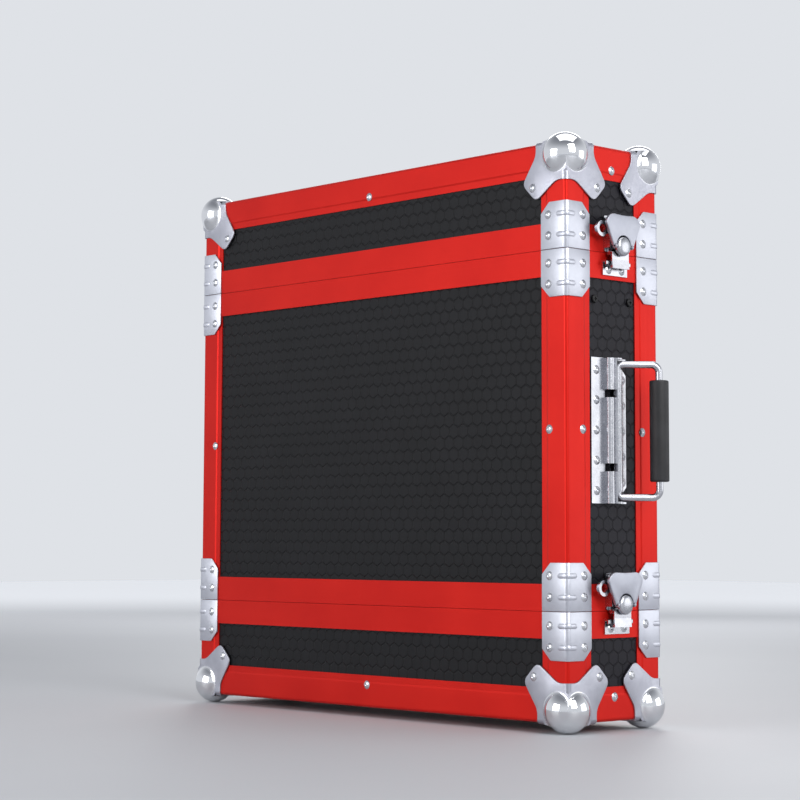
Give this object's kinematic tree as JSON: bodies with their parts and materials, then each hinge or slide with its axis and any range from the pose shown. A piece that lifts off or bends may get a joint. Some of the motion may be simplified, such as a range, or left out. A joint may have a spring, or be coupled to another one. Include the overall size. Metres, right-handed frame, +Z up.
{
  "type": "rack case",
  "caption": "Black and red 19-inch rack case standing on end, with lift-off lids, twist latches, ball corners and a bail handle on each narrow side.",
  "frame": {"origin": "bottom centre of the bounding box, under the rear lid's ball corners", "axes": "+Z up through the case's depth towards the front lid, +X across its width towards the right handle, -Y towards the near broad face"},
  "size_m": [0.5854, 0.138, 0.524],
  "materials": {
    "red_extrusion": "red anodised aluminium, satin",
    "panel_laminate": "black laminate with a raised hexagon pattern, on plywood",
    "satin_zinc": "zinc-plated steel, satin",
    "bright_chrome": "bright plated steel",
    "rivet_steel": "bright steel pop rivets",
    "grip_rubber": "matte black rubber",
    "black_steel": "black powder-coated steel",
    "black_screw": "black oxide steel",
    "foam": "dark closed-cell foam"
  },
  "bodies": {
    "case_body": {"near_panel": "panel_laminate", "far_panel": "panel_laminate", "right_panel": "panel_laminate", "left_panel": "panel_laminate", "body_corner_extrusions": "red_extrusion", "front_closure_frame": "red_extrusion", "rear_closure_frame": "red_extrusion", "body_corner_braces": "satin_zinc", "body_brace_rivets": "rivet_steel", "body_edge_rivets": "rivet_steel", "rack_rails": "black_steel", "rail_screws": "black_screw", "rail_nuts": "black_screw", "handle_plates": "bright_chrome", "handle_rivets": "rivet_steel", "front_keepers": "bright_chrome", "rear_latch_bases": "bright_chrome", "body_latch_rivets": "rivet_steel"},
    "front_lid": {"front_lid_cover": "panel_laminate", "front_lid_broad_walls": "panel_laminate", "front_lid_side_walls": "panel_laminate", "front_lid_edge_extrusions": "red_extrusion", "front_lid_corner_extrusions": "red_extrusion", "front_lid_closure_frame": "red_extrusion", "front_lid_ball_corners": "satin_zinc", "front_lid_corner_braces": "satin_zinc", "front_lid_rivets": "rivet_steel", "front_lid_foam": "foam", "front_latch_bases": "bright_chrome"},
    "rear_lid": {"rear_lid_cover": "panel_laminate", "rear_lid_broad_walls": "panel_laminate", "rear_lid_side_walls": "panel_laminate", "rear_lid_edge_extrusions": "red_extrusion", "rear_lid_corner_extrusions": "red_extrusion", "rear_lid_closure_frame": "red_extrusion", "rear_lid_ball_corners": "satin_zinc", "rear_lid_corner_braces": "satin_zinc", "rear_lid_rivets": "rivet_steel", "rear_lid_foam": "foam", "rear_keepers": "bright_chrome"},
    "right_handle": {"right_bail": "bright_chrome", "right_grip": "grip_rubber"},
    "left_handle": {"left_bail": "bright_chrome", "left_grip": "grip_rubber"},
    "front_right_twist": {"front_right_drum": "bright_chrome"},
    "front_right_butterfly": {"front_right_wing": "bright_chrome"},
    "front_right_crank": {"front_right_slide": "bright_chrome"},
    "front_right_claw": {"front_right_hook": "bright_chrome"},
    "front_left_twist": {"front_left_drum": "bright_chrome"},
    "front_left_butterfly": {"front_left_wing": "bright_chrome"},
    "front_left_crank": {"front_left_slide": "bright_chrome"},
    "front_left_claw": {"front_left_hook": "bright_chrome"},
    "rear_right_twist": {"rear_right_drum": "bright_chrome"},
    "rear_right_butterfly": {"rear_right_wing": "bright_chrome"},
    "rear_right_crank": {"rear_right_slide": "bright_chrome"},
    "rear_right_claw": {"rear_right_hook": "bright_chrome"},
    "rear_left_twist": {"rear_left_drum": "bright_chrome"},
    "rear_left_butterfly": {"rear_left_wing": "bright_chrome"},
    "rear_left_crank": {"rear_left_slide": "bright_chrome"},
    "rear_left_claw": {"rear_left_hook": "bright_chrome"}
  },
  "joints": [
    {"name": "front_lid_lift", "type": "slide", "parent": "case_body", "child": "front_lid", "axis": [0, 0, 1], "range_m": [0, 0.1]},
    {"name": "rear_lid_pull", "type": "slide", "parent": "case_body", "child": "rear_lid", "axis": [0, 0, -1], "range_m": [0, 0.1]},
    {"name": "right_handle_swing", "type": "hinge", "parent": "case_body", "child": "right_handle", "pos_m": [0.2625, 0, 0.262], "axis": [0, 0, 1], "range_deg": [-55, 27]},
    {"name": "left_handle_swing", "type": "hinge", "parent": "case_body", "child": "left_handle", "pos_m": [-0.2625, 0, 0.262], "axis": [0, 0, -1], "range_deg": [-55, 27]},
    {"name": "front_right_turn", "type": "hinge", "parent": "front_lid", "child": "front_right_twist", "pos_m": [0.2575, 0.002, 0.425], "axis": [1, 0, 0], "range_deg": [0, 180]},
    {"name": "front_right_flip", "type": "hinge", "parent": "front_right_twist", "child": "front_right_butterfly", "pos_m": [0.269, 0.002, 0.425], "axis": [0, 1, 0], "range_deg": [0, 95]},
    {"name": "front_right_draw", "type": "slide", "parent": "front_lid", "child": "front_right_crank", "axis": [0, 0, -1], "range_m": [0, 0.003]},
    {"name": "front_right_tilt", "type": "hinge", "parent": "front_right_crank", "child": "front_right_claw", "pos_m": [0.2615, 0.002, 0.4191], "axis": [0, -1, 0], "range_deg": [-8, 18]},
    {"name": "front_left_turn", "type": "hinge", "parent": "front_lid", "child": "front_left_twist", "pos_m": [-0.2575, -0.002, 0.425], "axis": [-1, 0, 0], "range_deg": [0, 180]},
    {"name": "front_left_flip", "type": "hinge", "parent": "front_left_twist", "child": "front_left_butterfly", "pos_m": [-0.269, -0.002, 0.425], "axis": [0, -1, 0], "range_deg": [0, 95]},
    {"name": "front_left_draw", "type": "slide", "parent": "front_lid", "child": "front_left_crank", "axis": [0, 0, -1], "range_m": [0, 0.003]},
    {"name": "front_left_tilt", "type": "hinge", "parent": "front_left_crank", "child": "front_left_claw", "pos_m": [-0.2615, -0.002, 0.4191], "axis": [0, 1, 0], "range_deg": [-8, 18]},
    {"name": "rear_right_turn", "type": "hinge", "parent": "case_body", "child": "rear_right_twist", "pos_m": [0.2575, 0.002, 0.11], "axis": [1, 0, 0], "range_deg": [0, 180]},
    {"name": "rear_right_flip", "type": "hinge", "parent": "rear_right_twist", "child": "rear_right_butterfly", "pos_m": [0.269, 0.002, 0.11], "axis": [0, 1, 0], "range_deg": [0, 95]},
    {"name": "rear_right_draw", "type": "slide", "parent": "case_body", "child": "rear_right_crank", "axis": [0, 0, -1], "range_m": [0, 0.003]},
    {"name": "rear_right_tilt", "type": "hinge", "parent": "rear_right_crank", "child": "rear_right_claw", "pos_m": [0.2615, 0.002, 0.1041], "axis": [0, -1, 0], "range_deg": [-8, 18]},
    {"name": "rear_left_turn", "type": "hinge", "parent": "case_body", "child": "rear_left_twist", "pos_m": [-0.2575, -0.002, 0.11], "axis": [-1, 0, 0], "range_deg": [0, 180]},
    {"name": "rear_left_flip", "type": "hinge", "parent": "rear_left_twist", "child": "rear_left_butterfly", "pos_m": [-0.269, -0.002, 0.11], "axis": [0, -1, 0], "range_deg": [0, 95]},
    {"name": "rear_left_draw", "type": "slide", "parent": "case_body", "child": "rear_left_crank", "axis": [0, 0, -1], "range_m": [0, 0.003]},
    {"name": "rear_left_tilt", "type": "hinge", "parent": "rear_left_crank", "child": "rear_left_claw", "pos_m": [-0.2615, -0.002, 0.1041], "axis": [0, 1, 0], "range_deg": [-8, 18]}
  ],
  "couplings": [
    {"joint": "front_right_draw", "follows": "front_right_turn", "m_per_rad": 0.00095493},
    {"joint": "front_left_draw", "follows": "front_left_turn", "m_per_rad": 0.00095493},
    {"joint": "rear_right_draw", "follows": "rear_right_turn", "m_per_rad": 0.00095493},
    {"joint": "rear_left_draw", "follows": "rear_left_turn", "m_per_rad": 0.00095493}
  ]
}
